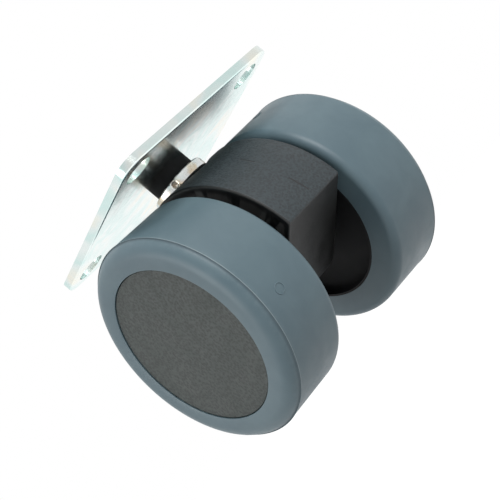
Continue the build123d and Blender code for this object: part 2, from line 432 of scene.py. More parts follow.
@dataclass(frozen=True)
class GrainedNylon(Finish):
    """Black moulded nylon with a spark-eroded grain, smooth below a level and off the crown, where it is also
    painted darker as shade.
    """

    axle: Vector
    base: Colour = (24, 31, 35)
    speck: Colour = (46, 56, 60)
    # Painted shade: the colour of the smooth faces below the axle, beside the wheels and inside.
    smooth_shade: Colour = (11, 12, 12)
    grain: float = 0.42
    grain_depth: float = 0.11
    smooth_below: float | None = None
    smooth_beyond: float = 9.4
    smooth_within: float = 23.8
    fade: float = 0.3
    seam: bool = False

    def make(self) -> bpy.types.Material:
        """Build the finish from grains, faint flow marks and, on the housing, its mould lines."""
        sketch = MaterialSketch(self.name, self.axle)
        x, y, z = sketch.axes()
        fine = sketch.noise(self.grain, detail=3.0, roughness=0.65)
        pits = sketch.ranged(sketch.cells(self.grain * 1.5), (0.15, 0.75))
        grain = sketch.maths("ADD", sketch.maths("MULTIPLY", fine, 0.7), sketch.maths("MULTIPLY", pits, 0.3))
        clouds = sketch.noise(5.0, detail=3.0, roughness=0.6, warp=0.5)
        base = sketch.blend(sketch.ranged(grain, (0.38, 0.66)), linear(self.base), linear(self.speck))
        flow = sketch.ranged(clouds, (0.3, 0.7), (0.0, 0.25))
        colour = sketch.blend(flow, base, linear(self.speck))
        roughness = sketch.ranged(clouds, (0.3, 0.7), (0.50, 0.62))
        height = grain
        if self.smooth_below is not None:
            above = (self.smooth_below - 0.25, self.smooth_below + 0.25)
            between = (self.smooth_beyond, self.smooth_beyond - self.fade)
            textured = sketch.maths(
                "MULTIPLY",
                sketch.ranged(z, above, smooth=True),
                sketch.ranged(sketch.maths("ABSOLUTE", y), between, smooth=True),
            )
            outside = (self.smooth_within, self.smooth_within + self.fade)
            crown = sketch.ranged(sketch.from_axle(x, z), outside, smooth=True)
            textured = sketch.maths("MULTIPLY", textured, crown)
            height = sketch.maths("MULTIPLY", grain, textured)
            roughness = sketch.maths("SUBTRACT", roughness, sketch.ranged(textured, (1.0, 0.0), (0.0, 0.1)))
            # The smooth faces are left ungrained and painted darker as shade.
            colour = sketch.blend(textured, linear(self.smooth_shade), colour)
        normal = sketch.relief(height, self.grain_depth)
        if self.seam:
            line = self.mould_lines(sketch, x, y, z)
            colour = sketch.blend(line, colour, linear((16, 16, 17)))
            normal = sketch.relief(sketch.maths("SUBTRACT", 1.0, line), 0.12, normal)
        sketch.set("Base Color", colour)
        sketch.set("Roughness", roughness)
        sketch.set("IOR", 1.5)
        sketch.set("Normal", normal)
        return sketch.material

    def mould_lines(
        self,
        sketch: MaterialSketch,
        x: bpy.types.NodeSocket,
        y: bpy.types.NodeSocket,
        z: bpy.types.NodeSocket,
    ) -> bpy.types.NodeSocket:
        """Mark two short scored lines that run round the crown near its middle.

        Args:
            sketch: The material being written.
            x: Distance from the axle along the plate.
            y: Distance along the axle.
            z: Height above the axle.

        Returns:
            A mask, 1 on the lines.
        """
        turn = sketch.maths("ARCTAN2", x, z)
        wander = sketch.ranged(sketch.noise(2.2, detail=2.0), (0.3, 0.7), (-0.1, 0.1))
        found = None
        for start, end, offset, lean in ((45.8, 55.5, 0.9, -0.6), (73.8, 86.3, 0.4, 1.6)):
            middle, half = math.radians((start + end) / 2), math.radians((end - start) / 2)
            away = sketch.maths("SUBTRACT", turn, middle)
            centre = sketch.maths("ADD", sketch.maths("MULTIPLY", away, lean), wander)
            aside = sketch.maths("SUBTRACT", sketch.maths("SUBTRACT", y, offset), centre)
            beside = sketch.maths("ABSOLUTE", aside)
            narrow = sketch.ranged(beside, (0.08, 0.2), (1.0, 0.0), smooth=True)
            ends = (half * 0.75, half)
            along = sketch.ranged(sketch.maths("ABSOLUTE", away), ends, (1.0, 0.0), smooth=True)
            line = sketch.maths("MULTIPLY", narrow, along)
            found = line if found is None else sketch.maths("MAXIMUM", found, line)
        return found


@dataclass(frozen=True)
class PlainNylon(Finish):
    """Smooth black moulded plastic for parts behind the tyres and caps."""

    base: Colour = (17, 18, 19)
    pale: Colour = (27, 28, 30)

    def make(self) -> bpy.types.Material:
        """Build the finish from soft flow marks and a slight orange peel."""
        sketch = MaterialSketch(self.name)
        flow = sketch.noise(3.0, detail=3.0, roughness=0.55, warp=0.8)
        paleness = sketch.ranged(flow, (0.35, 0.7))
        sketch.set("Base Color", sketch.blend(paleness, linear(self.base), linear(self.pale)))
        sketch.set("Roughness", sketch.ranged(flow, (0.3, 0.7), (0.62, 0.72)))
        sketch.set("IOR", 1.5)
        sketch.set("Specular IOR Level", 0.2)
        sketch.set("Normal", sketch.relief(sketch.noise(0.5, detail=2.0), 0.012))
        return sketch.material


@dataclass(frozen=True)
class ZincPlating(Finish):
    """Bright zinc plating with a thin passivation film that tints it in pale patches."""

    patch: float = 13.0
    roughness: tuple[float, float] = (0.17, 0.23)
    tint: float = 1.0
    stops: tuple[tuple[float, Colour], ...] = (
        (0.0, (216, 230, 228)),
        (0.30, (226, 233, 231)),
        (0.42, (204, 226, 223)),
        (0.52, (222, 231, 229)),
        (0.62, (232, 231, 220)),
        (0.72, (220, 230, 228)),
        (1.0, (228, 234, 231)),
    )

    def make(self) -> bpy.types.Material:
        """Build the finish from tinted patches, fine rolling lines and spangle."""
        sketch = MaterialSketch(self.name)
        film = sketch.noise(self.patch, detail=2.0, roughness=0.5, warp=0.6)
        fine = sketch.noise(0.5, detail=4.0, roughness=0.6)
        value = sketch.maths("ADD", film, sketch.ranged(fine, (0.0, 1.0), (-0.01, 0.01)))
        sketch.set("Base Color", sketch.bands(value, list(self.stops)))
        sketch.set("Metallic", 1.0)
        cloud = sketch.noise(2.4, detail=4.0, roughness=0.65)
        sketch.set("Roughness", sketch.ranged(cloud, (0.3, 0.7), self.roughness))
        rolled = sketch.noise(0.35, detail=2.0, vector=sketch.stretched((1.0, 0.06, 1.0)))
        first = sketch.relief(rolled, 0.0012)
        sketch.set("Normal", sketch.relief(sketch.noise(6.0, detail=1.0), 0.01, first))
        return sketch.material


@dataclass(frozen=True)
class TurnedZinc(Finish):
    """Turned and plated steel, with fine rings round the swivel axis and a bronze tint."""

    stops: tuple[tuple[float, Colour], ...] = (
        (0.0, (226, 228, 228)),
        (0.45, (216, 218, 218)),
        (0.6, (206, 190, 168)),
        (0.68, (214, 214, 212)),
        (1.0, (228, 230, 230)),
    )

    def make(self) -> bpy.types.Material:
        """Build the finish from turning rings and tinted patches."""
        sketch = MaterialSketch(self.name)
        film = sketch.noise(4.0, detail=2.0, roughness=0.5)
        sketch.set("Base Color", sketch.bands(film, list(self.stops)))
        sketch.set("Metallic", 1.0)
        sketch.set("Roughness", sketch.ranged(sketch.noise(1.2, detail=3.0), (0.3, 0.7), (0.2, 0.34)))
        rings = sketch.noise(0.12, detail=2.0, vector=sketch.stretched((0.04, 0.04, 1.0)))
        sketch.set("Normal", sketch.relief(rings, 0.006))
        return sketch.material


@dataclass(frozen=True)
class SpringSteel(Finish):
    """Oiled dark spring steel."""

    base: Colour = (96, 98, 102)
    dark: Colour = (62, 62, 66)

    def make(self) -> bpy.types.Material:
        """Build the finish from oil clouds and drawing lines."""
        sketch = MaterialSketch(self.name)
        oil = sketch.noise(1.6, detail=4.0, roughness=0.6)
        wiped = sketch.ranged(oil, (0.35, 0.7))
        sketch.set("Base Color", sketch.blend(wiped, linear(self.dark), linear(self.base)))
        sketch.set("Metallic", 1.0)
        sketch.set("Roughness", sketch.ranged(oil, (0.3, 0.7), (0.28, 0.42)))
        sketch.set("Normal", sketch.relief(sketch.noise(0.2, detail=2.0), 0.004))
        return sketch.material


# ------------------------------------------------------------------ node trees for geometry
class ShapeTree:
    """A Geometry Nodes tree with named inputs, which turns an object into a plain mesh."""

    def __init__(self, name: str) -> None:
        """Start an empty tree.

        Args:
            name: The tree's name.
        """
        self.tree = bpy.data.node_groups.new(name, "GeometryNodeTree")
        self.tree.interface.new_socket(name="Geometry", in_out="OUTPUT", socket_type="NodeSocketGeometry")
        self.tree.interface.new_socket(name="Geometry", in_out="INPUT", socket_type="NodeSocketGeometry")
        self.entry = self.tree.nodes.new("NodeGroupInput")
        self.exit = self.tree.nodes.new("NodeGroupOutput")
        self.keys: dict[str, str] = {}

    def input(self, name: str, kind: str, value: object = None) -> bpy.types.NodeSocket:
        """Add a named input.

        Args:
            name: The input's name.
            kind: Float, Int or Material.
            value: The input's value where none is given.

        Returns:
            The output of the group's input node.
        """
        socket = self.tree.interface.new_socket(name=name, in_out="INPUT", socket_type=f"NodeSocket{kind}")
        if value is not None:
            socket.default_value = value
        self.keys[name] = socket.identifier
        return self.entry.outputs[name]

    def add(self, kind: str, **settings: object) -> bpy.types.Node:
        """Add a node and set its properties."""
        node = self.tree.nodes.new(kind)
        for key, value in settings.items():
            setattr(node, key, value)
        return node

    def join(self, source: bpy.types.NodeSocket, target: bpy.types.NodeSocket) -> None:
        """Link an output to an input."""
        self.tree.links.new(source, target)

    def maths(self, operation: str, *values: object) -> bpy.types.NodeSocket:
        """Combine values with a Math node.

        Args:
            operation: The Math node's operation.
            *values: Numbers or outputs.

        Returns:
            The result.
        """
        node = self.add("ShaderNodeMath", operation=operation)
        for socket, value in zip(node.inputs, values):
            if isinstance(value, bpy.types.NodeSocket):
                self.join(value, socket)
            else:
                socket.default_value = value
        return node.outputs[0]

    def finish(self, geometry: bpy.types.NodeSocket) -> None:
        """End the tree: weld, realise instances and set the material.

        Args:
            geometry: The shape that the tree has made.
        """
        weld = self.add("GeometryNodeMergeByDistance")
        weld.inputs["Distance"].default_value = 1e-6
        realise = self.add("GeometryNodeRealizeInstances")
        dress = self.add("GeometryNodeSetMaterial")
        self.join(geometry, weld.inputs["Geometry"])
        self.join(weld.outputs["Geometry"], realise.inputs["Geometry"])
        self.join(realise.outputs["Geometry"], dress.inputs["Geometry"])
        self.join(self.input("Finish", "Material"), dress.inputs["Material"])
        self.join(dress.outputs["Geometry"], self.exit.inputs["Geometry"])

    def run(self, name: str, base: bpy.types.Mesh, values: dict[str, object]) -> bpy.types.Object:
        """Run the tree on a mesh and keep the result as a plain object.

        Args:
            name: The finished piece's name.
            base: The mesh that the tree starts from.
            values: The named inputs.

        Returns:
            The finished object, with no modifier left on it.
        """
        thing = bpy.data.objects.new(name, base)
        bpy.context.scene.collection.objects.link(thing)
        modifier = thing.modifiers.new(self.tree.name, "NODES")
        modifier.node_group = self.tree
        for key, value in values.items():
            modifier[self.keys[key]] = value
        bpy.context.view_layer.update()
        depsgraph = bpy.context.evaluated_depsgraph_get()
        mesh = bpy.data.meshes.new_from_object(
            thing.evaluated_get(depsgraph), preserve_all_data_layers=True, depsgraph=depsgraph
        )
        thing.modifiers.remove(modifier)
        thing.data = mesh
        mesh.name = name
        return thing


class RevolveTree(ShapeTree):
    """Turns a closed half section once round the axle."""

    def __init__(self) -> None:
        """Build the tree: a section carried round a circle, then stood on the axle."""
        super().__init__("Revolve_on_axle")
        segments = self.input("Segments", "Int", 192)
        radius = self.input("Path radius", "Float", 0.02)
        height = self.input("Axle height", "Float", 0.0)
        circle = self.add("GeometryNodeCurvePrimitiveCircle", mode="RADIUS")
        self.join(segments, circle.inputs["Resolution"])
        self.join(radius, circle.inputs["Radius"])
        shift = self.add("GeometryNodeTransform")
        offset = self.add("ShaderNodeCombineXYZ")
        self.join(self.maths("MULTIPLY", radius, -1.0), offset.inputs["X"])
        self.join(offset.outputs["Vector"], shift.inputs["Translation"])
        self.join(self.entry.outputs["Geometry"], shift.inputs["Geometry"])
        section = self.add("GeometryNodeMeshToCurve")
        self.join(shift.outputs["Geometry"], section.inputs["Mesh"])
        sweep = self.add("GeometryNodeCurveToMesh")
        self.join(circle.outputs["Curve"], sweep.inputs["Curve"])
        self.join(section.outputs["Curve"], sweep.inputs["Profile Curve"])
        stand = self.add("GeometryNodeTransform")
        stand.inputs["Rotation"].default_value = (math.radians(90), 0.0, 0.0)
        level = self.add("ShaderNodeCombineXYZ")
        self.join(height, level.inputs["Z"])
        self.join(level.outputs["Vector"], stand.inputs["Translation"])
        self.join(sweep.outputs["Mesh"], stand.inputs["Geometry"])
        self.finish(stand.outputs["Geometry"])

    def turn(
        self, name: str, section: Outline, axle: float, finish: bpy.types.Material, segments: int = 256
    ) -> bpy.types.Object:
        """Revolve a closed section about the axle.

        Args:
            name: The piece's name.
            section: Radius and place along the axle of each corner, in metres.
            axle: The axle's height, in metres.
            finish: The piece's material.
            segments: Number of steps round the axle.

        Returns:
            The finished piece.
        """
        base = bpy.data.meshes.new(name + "_section")
        count = len(section)
        base.from_pydata([(r, y, 0.0) for r, y in section], [(i, (i + 1) % count) for i in range(count)], [])
        values = {
            "Segments": segments,
            "Path radius": max(r for r, _ in section),
            "Axle height": axle,
            "Finish": finish,
        }
        return self.run(name, base, values)


class ThreadTree(ShapeTree):
    """Makes a stem whose side is a screw thread under a countersunk rivet head."""

    FLANK_SLOPE = 2.4

    def __init__(self) -> None:
        """Build the tree: a grid wrapped round the stem, its radius set by the thread's rule."""
        super().__init__("Threaded_stem")
        crest = self.input("Crest radius", "Float", 0.004)
        depth = self.input("Thread depth", "Float", 0.0007)
        pitch = self.input("Pitch", "Float", 0.00125)
        head = self.input("Head radius", "Float", 0.0055)
        head_depth = self.input("Head depth", "Float", 0.0014)
        plain = self.input("Plain end", "Float", -0.003)
        foot = self.input("Foot", "Float", -0.024)
        chamfer = self.input("Foot chamfer", "Float", 0.0008)
        around = self.input("Steps round", "Int", 72)
        down = self.input("Steps down", "Int", 240)
        grid = self.add("GeometryNodeMeshGrid")
        grid.inputs["Size X"].default_value = 1.0
        grid.inputs["Size Y"].default_value = 1.0
        self.join(around, grid.inputs["Vertices X"])
        self.join(down, grid.inputs["Vertices Y"])
        position = self.add("GeometryNodeInputPosition")
        split = self.add("ShaderNodeSeparateXYZ")
        self.join(position.outputs["Position"], split.inputs[0])
        turn = self.maths("MULTIPLY", split.outputs["X"], 2 * math.pi)
        share = self.maths("ADD", self.maths("MULTIPLY", split.outputs["Y"], 1.02), 0.5)
        inside = self.maths("COMPARE", share, 0.5, 0.502)
        level = self.maths("MULTIPLY", self.maths("SUBTRACT", 1.0, self.held(share)), foot)
        lead = self.maths("SUBTRACT", self.maths("DIVIDE", level, pitch), split.outputs["X"])
        tooth = self.maths("PINGPONG", lead, 0.5)
        flank = self.maths("MINIMUM", self.maths("MULTIPLY", tooth, self.FLANK_SLOPE), 1.0)
        root = self.maths("MULTIPLY", self.maths("SUBTRACT", 1.0, flank), depth)
        begun = self.held(self.maths("DIVIDE", self.maths("SUBTRACT", plain, level), pitch))
        side = self.maths("SUBTRACT", crest, self.maths("MULTIPLY", root, begun))
        slope = self.maths("DIVIDE", self.maths("SUBTRACT", head, crest), head_depth)
        cone = self.maths("ADD", head, self.maths("MULTIPLY", level, slope))
        tip = self.maths("ADD", self.maths("SUBTRACT", crest, chamfer), self.maths("SUBTRACT", level, foot))
        radius = self.maths("MULTIPLY", self.maths("MINIMUM", self.maths("MAXIMUM", side, cone), tip), inside)
        place = self.add("ShaderNodeCombineXYZ")
        self.join(self.maths("MULTIPLY", self.maths("COSINE", turn), radius), place.inputs["X"])
        self.join(self.maths("MULTIPLY", self.maths("SINE", turn), radius), place.inputs["Y"])
        self.join(level, place.inputs["Z"])
        wrap = self.add("GeometryNodeSetPosition")
        self.join(grid.outputs["Mesh"], wrap.inputs["Geometry"])
        self.join(place.outputs["Vector"], wrap.inputs["Position"])
        self.finish(wrap.outputs["Geometry"])

    def held(self, value: bpy.types.NodeSocket) -> bpy.types.NodeSocket:
        """Keep a value between 0 and 1."""
        return self.maths("MINIMUM", self.maths("MAXIMUM", value, 0.0), 1.0)


class GateMarkTree(ShapeTree):
    """Lays a small raised ring on a tread, where the plastic entered the mould."""

    def __init__(self) -> None:
        """Build the tree: a ring bent round the tread and given a thin round bead."""
        super().__init__("Gate_mark")
        mark = self.input("Mark radius", "Float", 0.0012)
        bead = self.input("Bead radius", "Float", 0.00009)
        tread = self.input("Tread radius", "Float", 0.025)
        angle = self.input("Angle", "Float", 0.0)
        along = self.input("Place along axle", "Float", 0.0)
        height = self.input("Axle height", "Float", 0.0)
        ring = self.add("GeometryNodeCurvePrimitiveCircle", mode="RADIUS")
        ring.inputs["Resolution"].default_value = 40
        self.join(mark, ring.inputs["Radius"])
        position = self.add("GeometryNodeInputPosition")
        split = self.add("ShaderNodeSeparateXYZ")
        self.join(position.outputs["Position"], split.inputs[0])
        turn = self.maths("ADD", angle, self.maths("DIVIDE", split.outputs["X"], tread))
        place = self.add("ShaderNodeCombineXYZ")
        self.join(self.maths("MULTIPLY", self.maths("SINE", turn), tread), place.inputs["X"])
        self.join(self.maths("ADD", along, split.outputs["Y"]), place.inputs["Y"])
        rise = self.maths("MULTIPLY", self.maths("COSINE", turn), tread)
        self.join(self.maths("ADD", rise, height), place.inputs["Z"])
        wrap = self.add("GeometryNodeSetPosition")
        self.join(ring.outputs["Curve"], wrap.inputs["Geometry"])
        self.join(place.outputs["Vector"], wrap.inputs["Position"])
        section = self.add("GeometryNodeCurvePrimitiveCircle", mode="RADIUS")
        section.inputs["Resolution"].default_value = 10
        self.join(bead, section.inputs["Radius"])
        sweep = self.add("GeometryNodeCurveToMesh")
        self.join(wrap.outputs["Geometry"], sweep.inputs["Curve"])
        self.join(section.outputs["Curve"], sweep.inputs["Profile Curve"])
        self.finish(sweep.outputs["Mesh"])


# ------------------------------------------------------------------ mesh helpers
def arc(centre: tuple[float, float], radius: float, start: float, end: float, steps: int = 10) -> Outline:
    """Sample an arc.

    Args:
        centre: The arc's centre.
        radius: The arc's radius.
        start: The first point's angle, in degrees.
        end: The last point's angle, in degrees.
        steps: Number of steps between them.

    Returns:
        The points, both ends among them.
    """
    angles = [math.radians(start + (end - start) * i / steps) for i in range(steps + 1)]
    return [(centre[0] + radius * math.cos(a), centre[1] + radius * math.sin(a)) for a in angles]


def close_shell(mesh: bpy.types.Mesh, sharp: float) -> None:
    """Point a closed mesh outwards and shade it smooth up to an angle.

    Args:
        mesh: The mesh to finish.
        sharp: Edges with a larger angle stay sharp, in degrees.
    """
    work = bmesh.new()
    work.from_mesh(mesh)
    bmesh.ops.remove_doubles(work, verts=work.verts, dist=1e-6)
    bmesh.ops.recalc_face_normals(work, faces=work.faces)
    work.to_mesh(mesh)
    work.free()
    mesh.shade_smooth()
    mesh.set_sharp_from_angle(angle=math.radians(sharp))


def smooth_copy(node: str, name: str, finish: bpy.types.Material, sharp: float = 28.0) -> bpy.types.Object:
    """Copy a CAD node with its triangles welded and its curved faces shaded smooth.

    Args:
        node: The CAD node.
        name: The new piece's name.
        finish: The piece's material.
        sharp: Edges with a larger angle stay sharp, in degrees.

    Returns:
        The new piece, which still has to ride on its body.
    """
    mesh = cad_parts[node].data.copy()
    mesh.name = name
    close_shell(mesh, sharp)
    mesh.materials.clear()
    mesh.materials.append(finish)
    piece = bpy.data.objects.new(name, mesh)
    bpy.context.scene.collection.objects.link(piece)
    weighting = piece.modifiers.new("Face weights", "WEIGHTED_NORMAL")
    weighting.keep_sharp = True
    weighting.weight = 80
    return piece


def from_swivel(vertex: bmesh.types.BMVert) -> float:
    """Return a corner's distance from the swivel axis."""
    return math.hypot(vertex.co.x, vertex.co.y)


def seat(piece: bpy.types.Object, body: Body, slot: Slot, *nodes: str) -> bpy.types.Object:
    """Let a finished piece ride on its body and stand for its CAD nodes.

    Args:
        piece: The finished piece.
        body: The body that it moves with.
        slot: The record's slot that its finish belongs to. Not used.
        *nodes: CAD nodes that it stands for.

    Returns:
        The same piece.
    """
    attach(piece, body.value)
    if nodes:
        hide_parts(*nodes)
    log.info("%s on %s: %d faces", piece.name, body.value, len(piece.data.polygons))
    return piece


def dress_node(node: str, finish: bpy.types.Material) -> None:
    """Give a CAD node that stays in view its finish.

    Args:
        node: The CAD node.
        finish: Its material.
    """
    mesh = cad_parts[node].data
    mesh.materials.clear()
    mesh.materials.append(finish)
    log.info("%s keeps its solid", node)


# ------------------------------------------------------------------ sub-assemblies
@dataclass
class Palette:
    """The finishes of the castor, each made once."""

    plate: bpy.types.Material
    turned: bpy.types.Material
    spring: bpy.types.Material
    housing: bpy.types.Material
    cap: bpy.types.Material
    plain: bpy.types.Material
    tyre: bpy.types.Material

    @classmethod
    def make(cls) -> "Palette":
        """Build every finish from the sizes of the frame.

        Returns:
            The filled palette.
        """
        low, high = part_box("tyre_right")
        axle = Vector((0.0, 0.0, (low.z + high.z) / 2))
        flash_place = -low.y / MM - WheelAssembly.shoulder_width
        return cls(
            plate=ZincPlating("zinc_plate_film").make(),
            turned=TurnedZinc("zinc_turned").make(),
            spring=SpringSteel("spring_steel_oiled").make(),
            housing=GrainedNylon("nylon_housing", axle, smooth_below=0.0, seam=True).make(),
            cap=GrainedNylon("nylon_cap", axle, base=(19, 25, 23), speck=(60, 68, 65)).make(),
            plain=PlainNylon("nylon_plain").make(),
            tyre=TyreFinish("tyre_grey", axle, (high.z - low.z) / 2 / MM, flash_place).make(),
        )


@dataclass
class PlateAssembly:
    """Screw-on plate with the spacer ring and the threaded stem, in millimetres."""

    palette: Palette
    spacer_radius: float = 5.5
    stem_radius: float = 4.0
    pitch: float = 1.25
    thread_depth: float = 0.68
    head_depth: float = 1.4
    foot_chamfer: float = 0.8

    def build(self) -> None:
        """Build the plate, the spacer ring and the stem."""
        seat(
            smooth_copy("mounting_plate", "plate_face", self.palette.plate),
            Body.PLATE, Slot.ZINC_PLATE, "mounting_plate",
        )
        self.spacer()
        self.stem()

    def spacer(self) -> bpy.types.Object:
        """Build the spacer ring, no wider than the sleeve below it.

        Returns:
            The spacer ring.
        """
        piece = smooth_copy("spacer_ring", "spacer", self.palette.plain)
        low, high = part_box("spacer_ring")
        outer = (high.x - low.x) / 2
        trim = outer - self.spacer_radius * MM
        for vertex in piece.data.vertices:
            radius = math.hypot(vertex.co.x, vertex.co.y)
            if radius > outer - MM:
                vertex.co.x *= (radius - trim) / radius
                vertex.co.y *= (radius - trim) / radius
        return seat(piece, Body.PLATE, Slot.ACETAL, "spacer_ring")

    def stem(self) -> bpy.types.Object:
        """Build the stem with its thread and rivet head.

        Returns:
            The stem.
        """
        low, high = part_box("threaded_stem")
        spacer_low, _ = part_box("spacer_ring")
        values = {
            "Crest radius": self.stem_radius * MM,
            "Thread depth": self.thread_depth * MM,
            "Pitch": self.pitch * MM,
            "Head radius": (high.x - low.x) / 2,
            "Head depth": self.head_depth * MM,
            "Plain end": spacer_low.z + self.pitch * MM,
            "Foot": low.z,
            "Foot chamfer": self.foot_chamfer * MM,
            "Finish": self.palette.turned,
        }
        piece = ThreadTree().run("stem_thread", bpy.data.meshes.new("stem_start"), values)
        close_shell(piece.data, 40.0)
        return seat(piece, Body.PLATE, Slot.ZINC_STEEL, "threaded_stem")


@dataclass
class SleeveAssembly:
    """Levelling sleeve with its collar and the snap ring that carries the housing."""

    palette: Palette

    def build(self) -> None:
        """Build the sleeve and dress the snap ring."""
        seat(
            smooth_copy("levelling_sleeve", "sleeve_collar", self.palette.turned),
            Body.SLEEVE, Slot.ZINC_STEEL, "levelling_sleeve",
        )
        dress_node("snap_ring", self.palette.spring)


@dataclass
class ForkAssembly:
    """Moulded housing with its thrust washer, axle, washers and clips, in millimetres."""

    palette: Palette
    crown_rise: float = 1.4
    skin: float = 1.3
    boss_radius: float = 8.4
    bore_radius: float = 5.55
    seat_radius: float = 7.7
    boss_wall: float = 1.8
    slack: float = 0.02
    seat_slack: float = 0.1
    level_slack: float = 0.01

    def build(self) -> None:
        """Build the housing and dress what it carries."""
        self.housing()
        seat(
            smooth_copy("axle", "axle_pin", self.palette.turned),
            Body.FORK, Slot.ZINC_STEEL, "axle",
        )
        dress_node("thrust_washer", self.palette.plain)
        for side in Side:
            dress_node(f"inner_washer_{side.word}", self.palette.plain)
            dress_node(f"outer_washer_{side.word}", self.palette.plain)
            dress_node(f"axle_clip_{side.word}", self.palette.spring)

    def housing(self) -> bpy.types.Object:
        """Build the housing with its crown raised round a sunk seat for the collar.

        Returns:
            The housing.
        """
        piece = smooth_copy("housing", "housing_shell", self.palette.housing)
        low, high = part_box("housing")
        axle_low, axle_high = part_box("axle")
        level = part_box("thrust_washer")[0].z
        work = bmesh.new()
        work.from_mesh(piece.data)
        ring, crown = self.open_seat(work, level)
        self.raise_crown(work, (high.x - low.x) / 2, (axle_low.z + axle_high.z) / 2, level)
        bmesh.ops.bridge_loops(work, edges=ring + crown)
        work.to_mesh(piece.data)
        work.free()
        close_shell(piece.data, 28.0)
        return seat(piece, Body.FORK, Slot.NYLON, "housing")

    def open_seat(
        self, work: bmesh.types.BMesh, level: float
    ) -> tuple[list[bmesh.types.BMEdge], list[bmesh.types.BMEdge]]:
        """Take the boss's top off and lay a narrower seat round the bore.

        Args:
            work: The housing's mesh.
            level: Height of the seat.

        Returns:
            The seat's outer edges, and the edges of the opening in the crown.
        """
        boss, bore = self.boss_radius * MM, self.bore_radius * MM
        foot = level - self.boss_wall * MM
        old = [
            face for face in work.faces
            if all(v.co.z > foot and from_swivel(v) < boss + self.slack * MM for v in face.verts)
        ]
        bmesh.ops.delete(work, geom=old, context="FACES")
        rim = [edge for edge in work.edges if edge.is_boundary]
        inner = [edge for edge in rim if all(from_swivel(v) < (boss + bore) / 2 for v in edge.verts)]
        crown = [edge for edge in rim if edge not in inner]
        spread = bmesh.ops.extrude_edge_only(work, edges=inner)["geom"]
        for vertex in (item for item in spread if isinstance(item, bmesh.types.BMVert)):
            scale = self.seat_radius * MM / from_swivel(vertex)
            vertex.co.x *= scale
            vertex.co.y *= scale
        ring = [item for item in spread if isinstance(item, bmesh.types.BMEdge) and item.is_boundary]
        return ring, crown

    def raise_crown(
        self, work: bmesh.types.BMesh, outer: float, axle: float, level: float
    ) -> None:
        """Move the outer skin away from the axle, and leave the seat where it is.

        Args:
            work: The housing's mesh.
            outer: Radius of the crown.
            axle: Height of the axle.
            level: Height of the seat.
        """
        for vertex in work.verts:
            reach = math.hypot(vertex.co.x, vertex.co.z - axle)
            on_seat = (
                from_swivel(vertex) < (self.seat_radius + self.seat_slack) * MM
                and vertex.co.z > level - self.level_slack * MM
            )
            if reach > outer - self.skin * MM and not on_seat:
                scale = 1.0 + self.crown_rise * MM / reach
                vertex.co.x *= scale
                vertex.co.z = axle + (vertex.co.z - axle) * scale


